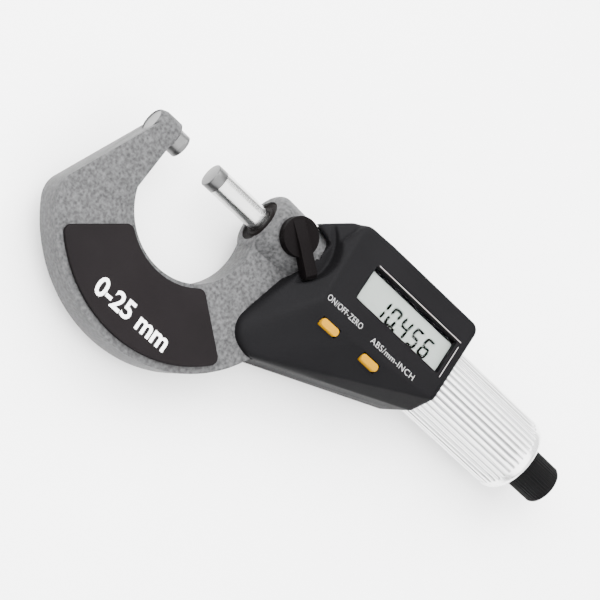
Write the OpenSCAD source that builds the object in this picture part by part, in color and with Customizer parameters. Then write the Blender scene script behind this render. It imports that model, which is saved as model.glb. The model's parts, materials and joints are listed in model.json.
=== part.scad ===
// Digital outside micrometer, 0-25 mm, lying on its back.
// Origin: centre of the anvil's measuring face. +X runs along the measuring axis from the anvil
// to the ratchet, the bow hangs towards -Y and the display faces +Z.

/* [Measuring] */
// Opening between the measuring faces as drawn
gap = 10.456; // [8:0.001:12]
// Diameter of the spindle
spindle_d = 6.35; // [6.2:0.01:6.4]
// Diameter of the anvil
anvil_d = 6.2; // [6:0.05:6.4]
// Length of the hard tip on the spindle
spindle_tip_len = 2.9; // [2:0.1:4]
// Length of the hard tip on the anvil
anvil_tip_len = 1.2; // [0.8:0.1:2]

/* [Frame] */
// Thickness of the bow
web_t = 8; // [7:0.5:9]
// Radius of the bow's outer edge
bow_r = 37; // [36:0.5:38]
// Radius of the throat
throat_r = 17.3; // [16.8:0.1:17.6]
// Radius of the spindle boss at its front
boss_r = 8.75; // [8.4:0.05:8.8]
// Radius of the anvil lug
lug_r = 4.1; // [3.8:0.1:4.4]
// Thickness of a grip plate
grip_t = 1.2; // [0.8:0.1:1.6]

/* [Housing] */
// Height of the display face over the measuring axis
face_z = 14.5; // [14.4:0.1:15]
// Depth of the back under the measuring axis
back_z = 12.6; // [12.5:0.1:13]
// Length of the display window's opening
window_l = 30.2; // [28:0.1:31]
// Width of the display window's opening
window_w = 9.7; // [9:0.1:10.5]
// Travel of the two buttons
button_travel = 0.5; // [0.3:0.1:0.5]

/* [Thimble and ratchet] */
// Diameter of the thimble at its front edge
thimble_d = 21.2; // [20.6:0.1:21.3]
// Diameter of the thimble at its rear end
thimble_rear_d = 20.7; // [20.2:0.1:20.9]
// Diameter of the ratchet knob
knob_d = 11.3; // [11.2:0.1:11.6]
// Number of teeth in the ratchet
ratchet_teeth = 24; // [12, 24, 36]

/* [Hidden] */
$fn = 96;

over = 1;                        // how far a cutting solid runs past what it cuts
fit = 0.025;                     // radial clearance of a running fit
half_t = web_t / 2;

// Stations along the measuring axis
lug_front_x = -3.4;
lug_rear_x = -10.8;
boss_front_x = 28;
bush_x = 30.2;
boss_rear_x = 48.5;
rear_boss_x = 59;
rear_boss_end_x = 62.2;
bore_x = rear_boss_end_x;
sleeve_end_x = 101;
thread_zone_x = 84;
nut_x = 91;
thimble_x = 73.2;
thread_x = 69.3;
taper_x = 112.5;
taper_end_x = 120.3;
thimble_end_x = 124.9;
knob_x = 125.3;
knob_end_x = 137.2;
housing_end_x = 88.2;

// Radii on the measuring axis
spindle_r = spindle_d / 2;
anvil_r = anvil_d / 2;
bush_r = 5;
seal_r = 5.8;
sleeve_r = 6.3;
sleeve_bore_r = 5;
thread_r = 3.6;
taper_end_r = 2.6;
thimble_bore_r = 8.6;
housing_bore_r = 11;
knob_r = knob_d / 2;
arbor_r = 2.4;
screw_r = 1.6;
rear_boss_r = 8.5;
hub_r = 4.2;

// The bow in plan
bow_c = [11.6, -13];
throat_c = [11.5, -10.8];
shoulder_r = 7;
shoulder_a = 210.7;              // where the shoulder's round meets the bow's edge
shoulder_c = bow_c + (bow_r - shoulder_r) * [cos(shoulder_a), sin(shoulder_a)];
web_end_x = 45.5;
bridge_y = [-12.2, -9];
grip_apex = [11.55, -14.4];
grip_half_a = 51;
grip_edge = 1.7;                 // from the plate's edge to the bow's edge
grip_throat_edge = 1;            // from the plate's edge to the throat

// Lock lever
lock_x = 34.6;
lock_r = 5.05;
lock_pad_z = 8.3;
lock_z = [8.95, 11.2];
lever_a = -40;
lever_reach = 10.4;
lever_room = 0.5;                // round the lever's sweep, scooped out of the housing
scoop_z = 9.3;
lever_w = 3.2;
lock_shaft_r = 2;
shoe_z = [3.3, 3.75];

// Housing
wall = 1.8;
seam_z = 1.2;
low_z = 5.9;                     // height of the front shell's edge at the bow
end_low_z = 8.4;                 // height of the same edge at the thimble
rear_low_z = 5.6;                // depth of the rear shell beside its hump
hump_half_y = 7.5;
boss_hole_r = 8.2;
pane_t = 0.8;
window_c = [69.5, 1.75];
// Corners of the housing in plan: centre, radius, height of the front shell's side there
corner_bow = [[41.9, -23.4], 6, low_z];
corner_low = [[43.6, -28.4], 1.4, low_z];
corner_end_low = [[86.9, -11.6], 1.3, end_low_z];
corner_end_top = [[85.7, 11.3], 2.5, face_z];
corner_top = [[48.4, 10.8], 3, face_z];
corner_boss = [[44.2, -4.2], 1, low_z + 0.8];
plan_corners = [corner_bow, corner_low, corner_end_low, corner_end_top, corner_top, corner_boss];
ear = [[40.9, 7.3], 1, 8.6];
// Corners of the raised display face: centre and radius
face_corners = [[[47.7, -9.5], 1.3], [[61, -11.1], 1.3], [[86.9, -8.2], 1.3], corner_end_top,
    corner_top, [[47.5, 6], 1.3]];
// Screws of the housing: the first two go into the bow, the others into the front shell
screw_spots = [[41, -12.5], [41.5, -24.6], [62.5, -18.4], [50.8, 10.9]];
screw_top_z = [3.5, 3.5, 5.5, 7.5];
screw_seat_z = -4.8;
housing_screw_r = 0.95;
housing_screw_head_r = 1.9;
housing_boss_r = 2.2;

// Boards, display and buttons
board_t = 0.6;
display_board_z = 11;
switch_board_z = 7;
switch_top_z = switch_board_z + board_t;
display_board_spots = [[54.4, -6.3], [84.6, -6.3]];
switch_board_spots = [[49, -16.6], [72.3, -12.6]];
board_screw_r = 0.5;
button_spots = [[53.2, -13.25], [67.55, -13]];
button_l = 5.7;
button_w = 2.1;
button_corner_r = 0.9;
button_top_z = face_z - 0.5;
dome_h = 0.5;
battery_c = [51.5, -18.4];
battery_r = 5.8;
battery_z = [-3.9, 1.5];
cap_r = 6.4;
cap_z = -5.95;
cap_top_z = battery_z[0] - 0.15;

module turned(profile) {
    rotate([0, 90, 0]) rotate_extrude() polygon(profile);
}

module rod(x, x_end, r) {
    translate([x, 0, 0]) rotate([0, 90, 0]) cylinder(h = x_end - x, r = r);
}

module ring(x, x_end, r_out, r_in) {
    difference() {
        rod(x, x_end, r_out);
        rod(x - over, x_end + over, r_in);
    }
}

module post(spot, z, z_end, r) {
    translate([spot[0], spot[1], z]) cylinder(h = z_end - z, r = r);
}

module plate(z, t) {
    translate([0, 0, z]) linear_extrude(t) children();
}

function arc(c, r, a0, a1, steps) = [for (i = [0:steps])
    let (a = a0 + (a1 - a0) * i / steps) c + r * [cos(a), sin(a)]];

// ---- frame ----

// the throat is round, and straight up its left side to the lug
module throat_plan(r) {
    intersection() {
        translate(throat_c) circle(r = r);
        polygon([[throat_c[0] - r + 2.1, 5], [throat_c[0] - r + 0.95, throat_c[1] - 5.7],
            [throat_c[0] - r + 0.95, -40], [60, -40], [60, 5]]);
    }
}

module bow_plan() {
    difference() {
        union() {
            intersection() {
                translate(bow_c) circle(r = bow_r);
                polygon([bow_c, bow_c + 60 * [cos(shoulder_a), sin(shoulder_a)], [-40, -60],
                    [web_end_x, -60], [web_end_x, -5], [26, -5]]);
            }
            hull() {
                translate(shoulder_c) circle(r = shoulder_r);
                polygon([[-10.2, -2.5], [-9.6, -0.5], [-4, 0], [-3.5, -4.2], [-4.8, -16.5], [2, -27]]);
            }
        }
        throat_plan(throat_r);
    }
}

module bridge_plan() {
    translate([web_end_x - 0.5, bridge_y[0]])
        square([rear_boss_end_x - web_end_x + 0.5, bridge_y[1] - bridge_y[0]]);
    translate([web_end_x - 0.5, bridge_y[0]]) square([boss_rear_x - web_end_x + 0.5, 7]);
    translate([rear_boss_x, bridge_y[0]]) square([rear_boss_end_x - rear_boss_x, 10]);
}

module web() {
    plate(-half_t, web_t) {
        bow_plan();
        bridge_plan();
    }
}

module frame() {
    nose_r = 2.3;
    color("darkgray") difference() {
        union() {
            web();
            turned([[0, lug_rear_x], [lug_r - 1.7, lug_rear_x], [lug_r - 0.6, lug_rear_x + 0.9],
                [lug_r, lug_rear_x + 2.4], [lug_r, lug_front_x - 0.5], [lug_r - 0.5, lug_front_x],
                [0, lug_front_x]]);
            turned(concat([[0, boss_front_x]],
                arc([boss_r - nose_r, boss_front_x + nose_r], nose_r, -90, 0, 8),
                [[boss_r - 0.65, boss_rear_x], [0, boss_rear_x]]));
            rod(rear_boss_x, rear_boss_end_x, rear_boss_r);
        }
        rod(lug_rear_x - over, lug_front_x + over, anvil_r);
        rod(boss_front_x - over, bush_x, seal_r);
        rod(bush_x - over, boss_rear_x + over, bush_r);
        rod(rear_boss_x - over, rear_boss_end_x + over, sleeve_r);
        post([lock_x, 0], lock_pad_z, boss_r + over, lock_r + 0.4);
        post([lock_x, 0], 0, boss_r + over, lock_shaft_r + fit);
        for (spot = [screw_spots[0], screw_spots[1]])
            post(spot, -half_t - over, half_t - 0.3, housing_screw_r);
        stator_screw_spots() rod(boss_rear_x - 1.6, boss_rear_x + over, 0.5);
    }
}

module anvil() {
    color("silver") rod(lug_rear_x + 0.8, -anvil_tip_len, anvil_r);
}

module anvil_tip() {
    color("slategray") turned([[0, -anvil_tip_len], [anvil_r, -anvil_tip_len], [anvil_r, -0.15],
        [anvil_r - 0.15, 0], [0, 0]]);
}

module grip_plan() {
    reach = 2 * bow_r;
    outer_r = bow_r - grip_edge;
    inner_r = throat_r + grip_throat_edge;
    round_r = 2;
    offset(r = round_r) offset(delta = -round_r) difference() {
        intersection() {
            translate(bow_c) circle(r = outer_r);
            polygon([grip_apex, grip_apex + reach * [-sin(grip_half_a), -cos(grip_half_a)],
                grip_apex + reach * [0, -2], grip_apex + reach * [sin(grip_half_a), -cos(grip_half_a)]]);
        }
        translate(throat_c) circle(r = inner_r);
    }
}

module front_grip_plate() {
    color("dimgray") plate(half_t, grip_t) grip_plan();
}

module rear_grip_plate() {
    color("dimgray") plate(-half_t - grip_t, grip_t) grip_plan();
}

module spindle_bush() {
    color("darkkhaki") difference() {
        ring(bush_x, boss_rear_x - 2, bush_r, spindle_r + fit);
        post([lock_x, 0], 0, bush_r + over, lock_shaft_r + fit);
    }
}

module spindle_seal() {
    face_x = boss_front_x + 0.35;
    lip_r = spindle_r + 0.9;
    color("black") turned([[spindle_r + 2 * fit, face_x - 0.15], [lip_r, face_x - 0.15],
        [lip_r + 0.3, face_x + 0.25], [seal_r - 0.7, face_x + 0.25], [seal_r - 0.4, face_x],
        [seal_r, face_x], [seal_r, bush_x], [spindle_r + 2 * fit, bush_x]]);
}

// ---- lock ----

module lock_lever() {
    tip_z = lock_z[1] + 1.5;
    arm_z = lock_z[0] + 0.45;
    color("black") translate([lock_x, 0, 0]) difference() {
        union() {
            translate([0, 0, lock_z[0]]) cylinder(h = lock_z[1] - lock_z[0], r = lock_r);
            rotate([90, 0, lever_a]) translate([0, 0, -lever_w / 2]) linear_extrude(lever_w)
                polygon([[-4.4, lock_z[0] + 0.5], [lever_reach - 1.2, arm_z], [lever_reach, arm_z + 1],
                    [lever_reach, tip_z - 0.8], [lever_reach - 0.8, tip_z], [2, lock_z[1] + 1.1],
                    [-4.4, lock_z[1] + 0.1]]);
        }
        translate([0, 0, lock_z[0] - over]) cylinder(h = over + 1.5, r = lock_shaft_r);
    }
}

module lock_shaft() {
    color("silver") post([lock_x, 0], shoe_z[1] + 0.15, lock_z[0] + 1.5, lock_shaft_r);
}

module lock_washer() {
    color("gainsboro") difference() {
        post([lock_x, 0], lock_pad_z, lock_z[0] - 0.1, lock_shaft_r + 1.9);
        post([lock_x, 0], lock_pad_z - over, lock_z[0] + over, lock_shaft_r + 0.1);
    }
}

module lock_shoe() {
    color("goldenrod") post([lock_x, 0], shoe_z[0], shoe_z[1], lock_shaft_r - 0.05);
}

// ---- screw and thimble ----

module spindle() {
    tip_x = gap + spindle_tip_len;
    groove_x = [41.9, 69];
    groove_w = 1;
    groove_z = 2.4;
    color("lightgray") difference() {
        turned([[0, tip_x], [spindle_r, tip_x], [spindle_r, thread_x], [thread_r, thread_x + 0.4],
            [thread_r, taper_x], [taper_end_r, taper_end_x], [0, taper_end_x]]);
        rod(taper_x, taper_end_x + over, screw_r);
        translate([groove_x[0], -groove_w / 2, groove_z])
            cube([groove_x[1] - groove_x[0], groove_w, spindle_r]);
    }
}

module spindle_tip() {
    color("slategray") turned([[0, gap], [spindle_r - 0.15, gap], [spindle_r, gap + 0.15],
        [spindle_r, gap + spindle_tip_len], [0, gap + spindle_tip_len]]);
}

module inner_sleeve() {
    color("gainsboro") turned([[sleeve_bore_r, rear_boss_x], [sleeve_r, rear_boss_x],
        [sleeve_r, sleeve_end_x - 1], [sleeve_r - 1, sleeve_end_x], [thread_r + 2 * fit, sleeve_end_x],
        [thread_r + 2 * fit, thread_zone_x], [sleeve_bore_r, thread_zone_x - 1]]);
}

module adjusting_nut() {
    nut_r = 8;
    slot = 1.2;
    color("darkgray") difference() {
        turned([[sleeve_r, nut_x], [nut_r - 0.4, nut_x], [nut_r, nut_x + 0.4], [nut_r, nut_x + 7.6],
            [nut_r - 0.4, nut_x + 8], [sleeve_r, nut_x + 8]]);
        for (a = [0, 180])
            rotate([a, 0, 0]) translate([nut_x + 6, -slot / 2, sleeve_r + 0.4]) cube([over + 3, slot, 3]);
    }
}

module thimble() {
    end_r = 2;
    front_r = thimble_d / 2;
    rear_r = thimble_rear_d / 2;
    color("whitesmoke") turned(concat([[thimble_bore_r, thimble_x], [front_r - 0.3, thimble_x],
        [front_r, thimble_x + 0.3]],
        arc([rear_r - end_r, thimble_end_x - end_r], end_r, 0, 90, 8),
        [[screw_r + fit, thimble_end_x], [screw_r + fit, taper_end_x + 0.1],
        [taper_end_r, taper_end_x], [thread_r, taper_x], [thread_r + 0.6, taper_x - 0.4],
        [thimble_bore_r - 1, taper_x - 0.4], [thimble_bore_r, taper_x - 1.4]]));
}

// ---- ratchet ----

gear_x = 126.2;
gear_face_x = 127.6;
tooth_h = 0.4;
click_x = gear_face_x + tooth_h + 0.05;
click_end_x = 129.6;
knob_wall_x = [131.6, 132.9];
arbor_end_x = 133;
ratchet_bore_r = 4.8;
cap_x = 134.5;
knob_screw_len = 3;
knob_screw_r = 0.9;

// one ridge per tooth, its edges along the radius and its root sunk into the face it stands on
module ridges(x, height, turn) {
    root = -height / 2;
    for (i = [0:ratchet_teeth - 1])
        rotate([turn + i * 360 / ratchet_teeth, 0, 0]) translate([x, 0, 2.9])
            linear_extrude(1.5) polygon([[root, -0.2], [0, -0.2], [height, 0], [0, 0.2], [root, 0.2]]);
}

module ratchet_screw() {
    color("silver") difference() {
        union() {
            rod(taper_x + 1, thimble_end_x + 0.1, screw_r);
            rod(thimble_end_x, arbor_end_x, arbor_r);
        }
        rod(arbor_end_x - knob_screw_len, arbor_end_x + over, knob_screw_r);
    }
}

module ratchet_gear() {
    color("darkgray") {
        ring(gear_x, gear_face_x, 4.5, arbor_r);
        ridges(gear_face_x, tooth_h, 0);
    }
}

module key_tabs(x, x_end, w, reach_r) {
    translate([x, -w / 2, -reach_r]) cube([x_end - x, w, 2 * reach_r]);
}

module click_ring() {
    color("darkgray") {
        difference() {
            union() {
                rod(click_x, click_end_x, ratchet_bore_r - 0.3);
                key_tabs(click_x, click_end_x, 1.6, 4.95);
            }
            rod(click_x - over, click_end_x + over, arbor_r + 0.3);
        }
        ridges(click_x, -tooth_h, 180 / ratchet_teeth);
    }
}

// a coil along X as one closed tube with flat ends
module coil(x, x_end, r, wire_r, turns, per_turn, sides) {
    n = turns * per_turn;
    points = [for (i = [0:n], s = [0:sides - 1])
        let (a = 360 * i / per_turn, b = 360 * s / sides, rr = r + wire_r * cos(b))
        [x + wire_r + (x_end - x - 2 * wire_r) * i / n + wire_r * sin(b), rr * cos(a), rr * sin(a)]];
    skin = [for (i = [0:n - 1], s = [0:sides - 1])
        [i * sides + s, i * sides + (s + 1) % sides, (i + 1) * sides + (s + 1) % sides, (i + 1) * sides + s]];
    polyhedron(points, concat([[for (s = [sides - 1:-1:0]) s]], skin,
        [[for (s = [0:sides - 1]) n * sides + s]]));
}

module ratchet_spring() {
    color("silver") coil(click_end_x + 0.02, knob_wall_x[0] - 0.02, 3.7, 0.25, 3, 18, 6);
}

module ratchet_knob() {
    chamfer = 1;
    color("black") difference() {
        turned([[ratchet_bore_r, knob_x], [knob_r - 0.4, knob_x], [knob_r, knob_x + 0.4],
            [knob_r - 0.1, knob_end_x - chamfer], [knob_r - chamfer, knob_end_x],
            [ratchet_bore_r - 0.4, knob_end_x], [ratchet_bore_r - 0.4, cap_x], [ratchet_bore_r, cap_x],
            [ratchet_bore_r, knob_wall_x[1]], [arbor_r + 2 * fit, knob_wall_x[1]],
            [arbor_r + 2 * fit, knob_wall_x[0]], [ratchet_bore_r, knob_wall_x[0]]]);
        key_tabs(click_x - 0.6, knob_wall_x[0], 1.9, 5.15);
    }
}

module knob_screw() {
    color("silver") difference() {
        union() {
            rod(arbor_end_x, arbor_end_x + 1, 3.4);
            rod(arbor_end_x - knob_screw_len, arbor_end_x + 0.5, knob_screw_r);
        }
        translate([arbor_end_x + 0.5, -0.35, -4]) cube([over + 0.5, 0.7, 8]);
    }
}

module knob_cap() {
    color("black") rod(cap_x, knob_end_x - 0.3, ratchet_bore_r - 0.4);
}

// ---- encoder ----

stator_x = boss_rear_x;
rotor_x = 49.6;
flange_x = 50.4;
hub_end_x = 58.4;
key_x = 57.2;

module stator_screw_spots() {
    for (a = [30, 150, 270]) rotate([a, 0, 0]) translate([0, 6.7, 0]) children();
}

module encoder_stator() {
    color("darkgreen") difference() {
        ring(stator_x, stator_x + 0.8, 8.4, hub_r + 0.4);
        stator_screw_spots() {
            rod(stator_x - over, stator_x + 2, 0.5);
            rod(stator_x + 0.4, stator_x + 2, 0.9);
        }
    }
}

module stator_screws() {
    color("silver") stator_screw_spots() {
        rod(stator_x - 1.5, stator_x + 0.6, 0.5);
        rod(stator_x + 0.4, stator_x + 0.8, 0.9);
    }
}

module encoder_rotor() {
    color("seagreen") ring(rotor_x, flange_x, 7.9, hub_r);
}

module rotor_hub() {
    color("goldenrod") difference() {
        union() {
            rod(boss_rear_x + 0.1, hub_end_x, hub_r);
            rod(flange_x, flange_x + 0.9, hub_r + 1.4);
        }
        rod(boss_rear_x - over, hub_end_x + over, spindle_r + 2 * fit);
        post([key_x, 0], 0, hub_r + over, 0.45);
    }
}

module drive_key() {
    color("silver") post([key_x, 0], 2.55, hub_r - 0.15, 0.45);
}

module rotor_washer() {
    color("gainsboro") ring(hub_end_x + 0.1, rear_boss_x, sleeve_r - 0.2, spindle_r + 0.7);
}

// ---- housing ----

module column(corner, z, z_end, inset) {
    translate([corner[0][0], corner[0][1], z]) cylinder(h = z_end - z, r = max(corner[1] - inset, 0.3), $fn = 40);
}

// the front shell's outer form, or its hollow when inset
module front_form(z, inset) {
    hull() {
        for (corner = plan_corners) column(corner, z, corner[2] - inset, inset);
        for (corner = face_corners) column(corner, face_z - inset - 0.5, face_z - inset, inset);
    }
}

module front_ear() {
    hull() {
        column(ear, seam_z, ear[2], 0);
        column(corner_top, seam_z, face_z - 2.5, 0.4);
        column([[47, 4], 1, 0], seam_z, 10, 0);
    }
}

module rear_form(z_top, inset) {
    hull() {
        for (corner = plan_corners) column(corner, -rear_low_z + inset, z_top, inset);
        translate([49 + inset, -hump_half_y, -back_z + inset])
            cube([housing_end_x - 49 - 2 * inset, 2 * hump_half_y, 1]);
    }
}

module rear_ear() {
    hull() {
        column(ear, -rear_low_z, seam_z, 0);
        column(corner_top, -rear_low_z, seam_z, 0.4);
        column([[47, 4], 1, 0], -rear_low_z, seam_z, 0);
    }
}

// what the frame, the thimble and the workings take out of a shell
module shell_room() {
    web();
    turned([[0, 20], [boss_r + 0.05, 20], [boss_hole_r + 0.35, boss_front_x + 11], [boss_hole_r, boss_rear_x],
        [0, boss_rear_x]]);
    rod(bore_x, housing_end_x + over, housing_bore_r);
}

module front_cutouts() {
    pane_room = 1.1;
    translate([window_c[0] - window_l / 2, window_c[1] - window_w / 2, 0]) cube([window_l, window_w, 2 * face_z]);
    translate([window_c[0] - window_l / 2 - pane_room, window_c[1] - window_w / 2 - pane_room, 5])
        cube([window_l + 2 * pane_room, window_w + 2 * pane_room, face_z - 1 - 5]);
    for (spot = button_spots) button_prism(spot, 5, 2 * face_z, 0.15);
}

module housing_front() {
    post_r = 1.2;
    color("darkslategray") difference() {
        union() {
            difference() {
                union() {
                    front_form(seam_z, 0);
                    front_ear();
                }
                difference() {
                    front_form(seam_z - over, wall);
                    post([lock_x, 0], 0, 2 * face_z, lever_reach + lever_room + wall / 2);
                }
            }
            post(screw_spots[2], seam_z, 8.8, housing_boss_r);
            post(screw_spots[3], seam_z, face_z - 1, housing_boss_r);
            for (spot = display_board_spots) post(spot, display_board_z + board_t, face_z - 1, post_r);
            post(switch_board_spots[0], switch_top_z, 10.5, post_r);
            post(switch_board_spots[1], switch_top_z, 11.8, post_r);
        }
        shell_room();
        post([lock_x, 0], scoop_z, 2 * face_z, lever_reach + lever_room);
        front_cutouts();
        for (i = [2, 3]) post(screw_spots[i], seam_z - over, screw_top_z[i] + 0.2, housing_screw_r);
        board_screw_spots() cylinder(h = 2.2, r = board_screw_r);
    }
}

module housing_rear() {
    color("darkslategray") difference() {
        union() {
            difference() {
                union() {
                    rear_form(seam_z, 0);
                    rear_ear();
                }
                rear_form(seam_z + over, wall);
            }
            intersection() {
                rear_form(seam_z, 0.2);
                union() {
                    for (spot = screw_spots) post(spot, -back_z, seam_z, housing_boss_r + 0.4);
                    post(battery_c, -back_z, cap_top_z + 1, cap_r + 1.4);
                }
            }
        }
        shell_room();
        for (spot = screw_spots) {
            post(spot, -2 * back_z, screw_seat_z, housing_screw_head_r + 0.1);
            post(spot, screw_seat_z - over, seam_z + over, housing_screw_r);
        }
        post(battery_c, -2 * back_z, cap_top_z + 0.05, cap_r + 0.35);
        post(battery_c, cap_top_z - over, cap_top_z + 2, battery_r + 0.3);
    }
}

module housing_screws() {
    head_t = 0.8;
    slot_w = 0.5;
    color("silver") for (i = [0:len(screw_spots) - 1]) difference() {
        union() {
            post(screw_spots[i], screw_seat_z - head_t, screw_seat_z, housing_screw_head_r);
            post(screw_spots[i], screw_seat_z - 0.2, screw_top_z[i], housing_screw_r);
        }
        translate([screw_spots[i][0], screw_spots[i][1], screw_seat_z - head_t]) {
            cube([2.2, slot_w, 0.9], center = true);
            cube([slot_w, 2.2, 0.9], center = true);
        }
    }
}

// ---- display ----

module rect_plate(l, w, z, t) {
    translate([window_c[0] - l / 2, window_c[1] - w / 2, z]) cube([l, w, t]);
}

lcd_z = display_board_z + board_t + 0.3;
pane_z = face_z - 1 - pane_t;
lcd_l = 31.6;
lcd_w = 11.4;

module lcd_window() {
    color("lightcyan", 0.4) rect_plate(window_l + 2, window_w + 2, pane_z, pane_t);
}

module lcd_holder() {
    z = display_board_z + board_t;
    color("black") difference() {
        rect_plate(lcd_l + 1.6, lcd_w + 1.6, z, pane_z - z - 0.05);
        rect_plate(lcd_l, lcd_w, z - over, 5);
    }
}

module lcd_panel() {
    color("darkseagreen") rect_plate(lcd_l, lcd_w, lcd_z, pane_z - lcd_z - 0.1);
}

module contact_strips() {
    z = display_board_z + board_t;
    color("pink") for (side = [-1, 1])
        translate([window_c[0] - lcd_l / 2 + 1, window_c[1] + side * (lcd_w / 2 - 1) - 0.6, z])
            cube([lcd_l - 2, 1.2, lcd_z - z]);
}

// where a board's screw enters the board, one copy of what follows for each
module board_screw_spots() {
    for (spot = display_board_spots) translate([spot[0], spot[1], display_board_z]) children();
    for (spot = switch_board_spots) translate([spot[0], spot[1], switch_board_z]) children();
}

module display_board() {
    color("darkgreen") difference() {
        translate([52.5, -7.6, display_board_z]) cube([33.6, 17, board_t]);
        board_screw_spots() cylinder(h = 2, r = board_screw_r);
    }
}

module board_screws() {
    head_t = 0.6;
    color("silver") board_screw_spots() difference() {
        union() {
            translate([0, 0, -head_t]) cylinder(h = head_t, r = 1);
            translate([0, 0, -0.2]) cylinder(h = 2.2, r = board_screw_r);
        }
        translate([-1.5, -0.15, -head_t - over]) cube([3, 0.3, over + 0.3]);
    }
}

module controller_chip() {
    chip_t = 1.1;
    color("black") translate([53, -3, display_board_z - chip_t]) cube([5.2, 6, chip_t]);
}

module ribbon_cable() {
    t = 0.2;
    top = display_board_z;
    foot = switch_top_z;
    color("orange") translate([57.5, 0, 0]) rotate([90, 0, 90]) linear_extrude(5.5)
        polygon([[-6.2, top], [-6.2, top - t], [-9.4, top - t], [-11.9, foot], [-14.4, foot],
            [-14.4, foot + t], [-12, foot + t], [-9.5, top]]);
}

module switch_board() {
    color("darkgreen") difference() {
        plate(switch_board_z, board_t) polygon([[47.4, -11.4], [73.2, -11.4], [73.2, -13.9],
            [58.5, -15.8], [58.5, -18.2], [47.4, -18.2]]);
        board_screw_spots() cylinder(h = 2, r = board_screw_r);
    }
}

module dome_switches() {
    color("silver") for (spot = button_spots)
        translate([spot[0], spot[1], switch_top_z]) cylinder(h = dome_h, r1 = 1.9, r2 = 1.1);
}

module button_prism(spot, z, z_end, grow) {
    plate(z, z_end - z) translate(spot) hull() for (sx = [-1, 1], sy = [-1, 1])
        translate([sx * (button_l / 2 - button_corner_r), sy * (button_w / 2 - button_corner_r)])
            circle(r = button_corner_r + grow, $fn = 32);
}

module button(spot) {
    stem_z = switch_top_z + dome_h + button_travel + 0.05;
    flange_z = 9.2;
    color("gold") {
        button_prism(spot, flange_z, button_top_z, 0);
        button_prism(spot, flange_z, flange_z + 0.7, 0.6);
        post(spot, stem_z, flange_z + 0.2, 1);
    }
}

module button_left() {
    button(button_spots[0]);
}

module button_right() {
    button(button_spots[1]);
}

// ---- battery ----

module battery() {
    color("silver") {
        post(battery_c, battery_z[0] + 0.4, battery_z[1], battery_r);
        post(battery_c, battery_z[0], battery_z[0] + 0.5, battery_r - 1.3);
    }
}

module battery_contact_top() {
    t = 0.2;
    strip_w = 1.8;
    color("goldenrod") translate([battery_c[0] - 3, battery_c[1] - 1.1, 0]) rotate([90, 0, 0])
        mirror([0, 0, 1]) linear_extrude(strip_w) polygon([[0, battery_z[1]], [4, battery_z[1]],
            [4, battery_z[1] + t], [0.4, battery_z[1] + t], [-0.6, switch_board_z - t],
            [3, switch_board_z - t], [3, switch_board_z], [-0.8, switch_board_z]]);
}

module battery_contact_side() {
    foot_z = battery_z[0] + 1.4;
    t = 0.2;
    color("goldenrod") translate([battery_c[0] + battery_r, battery_c[1] - 1.2, foot_z]) {
        cube([t, 2.4, switch_board_z - foot_z]);
        translate([0, 0, switch_board_z - foot_z - t]) cube([1.2, 2.4, t]);
    }
}

cap_ring_z = (cap_z + cap_top_z) / 2;
cap_ring_r = 0.34;

module battery_cap() {
    color("dimgray") translate([battery_c[0], battery_c[1], 0]) difference() {
        rotate_extrude() polygon([[0, cap_z], [cap_r - 0.2, cap_z], [cap_r, cap_z + 0.2],
            [cap_r, cap_ring_z - cap_ring_r], [cap_r - 0.7, cap_ring_z - cap_ring_r],
            [cap_r - 0.7, cap_ring_z + cap_ring_r], [cap_r, cap_ring_z + cap_ring_r],
            [cap_r, cap_top_z], [0, cap_top_z]]);
        translate([-5, -0.6, cap_z - over]) cube([10, 1.2, over + 0.7]);
    }
}

module battery_cap_ring() {
    color("black") translate([battery_c[0], battery_c[1], cap_ring_z])
        rotate_extrude() translate([cap_r - 0.36, 0]) circle(r = cap_ring_r, $fn = 32);
}

frame();
anvil();
anvil_tip();
front_grip_plate();
rear_grip_plate();
spindle_bush();
spindle_seal();
spindle();
spindle_tip();
lock_lever();
lock_shaft();
lock_washer();
lock_shoe();
inner_sleeve();
adjusting_nut();
thimble();
ratchet_screw();
ratchet_gear();
click_ring();
ratchet_spring();
ratchet_knob();
knob_screw();
knob_cap();
encoder_stator();
stator_screws();
encoder_rotor();
rotor_hub();
drive_key();
rotor_washer();
housing_front();
housing_rear();
housing_screws();
lcd_window();
lcd_holder();
lcd_panel();
contact_strips();
display_board();
board_screws();
controller_chip();
ribbon_cable();
switch_board();
dome_switches();
button_left();
button_right();
battery();
battery_contact_top();
battery_contact_side();
battery_cap();
battery_cap_ring();
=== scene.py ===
import bpy
import json
import math
from mathutils import Matrix, Vector

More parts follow.
